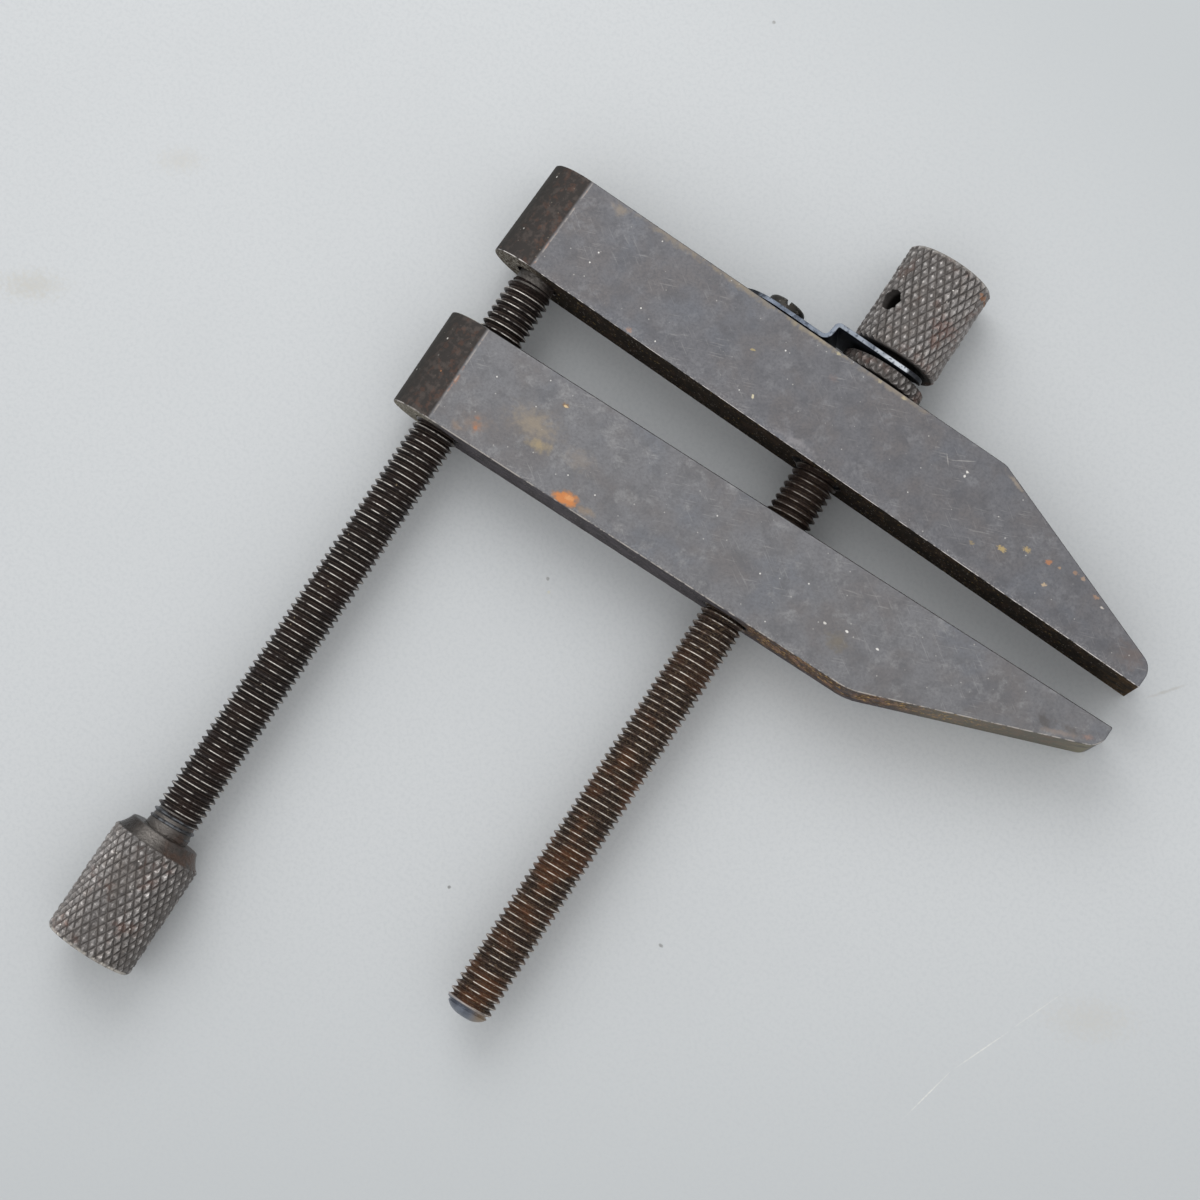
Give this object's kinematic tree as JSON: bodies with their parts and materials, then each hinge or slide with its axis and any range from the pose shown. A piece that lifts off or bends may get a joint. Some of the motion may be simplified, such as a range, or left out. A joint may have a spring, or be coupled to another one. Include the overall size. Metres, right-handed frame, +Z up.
{
  "type": "toolmakers clamp",
  "caption": "Toolmakers parallel clamp: flat steel jaws with bevelled noses, drawn together by a collared centre screw and held apart at the heel by a rear screw.",
  "frame": {"origin": "under the middle of the whole clamp at rest, on the surface that the jaws' side faces lie on", "axes": "+X along the threaded jaw from heel to tip, +Y along the screws from the rear knob to the front knob, +Z up across the jaws' thickness"},
  "size_m": [0.1002, 0.1352, 0.0127],
  "materials": {
    "jaw_steel": "chemically blacked tool steel, worn to a satin mid grey",
    "screw_steel": "blacked steel, knurled and threaded, with brown rust in the hollows",
    "spring_steel": "blued spring steel strip",
    "small_screw_steel": "blacked steel"
  },
  "bodies": {
    "plain_jaw": {"plain_jaw": "jaw_steel", "spring_clip": "spring_steel", "clip_screw": "small_screw_steel"},
    "threaded_jaw": {"threaded_jaw": "jaw_steel"},
    "centre_screw": {"centre_screw": "screw_steel"},
    "rear_screw": {"rear_screw": "screw_steel"}
  },
  "joints": [
    {"name": "threaded_jaw_travel", "type": "slide", "parent": "plain_jaw", "child": "threaded_jaw", "axis": [0, -1, 0], "range_m": [-0.0057, 0.058]},
    {"name": "centre_screw_turn", "type": "hinge", "parent": "plain_jaw", "child": "centre_screw", "pos_m": [0.00155, 0.0273, 0.00635], "axis": [0, 1, 0], "range_deg": [-2110, 21380]},
    {"name": "rear_screw_turn", "type": "hinge", "parent": "plain_jaw", "child": "rear_screw", "pos_m": [-0.04315, 0.0273, 0.00635], "axis": [0, 1, 0], "range_deg": [-2110, 21380]}
  ],
  "couplings": [
    {"joint": "centre_screw_turn", "follows": "threaded_jaw_travel", "rad_per_m": 6431.1},
    {"joint": "rear_screw_turn", "follows": "threaded_jaw_travel", "rad_per_m": 6431.1}
  ]
}
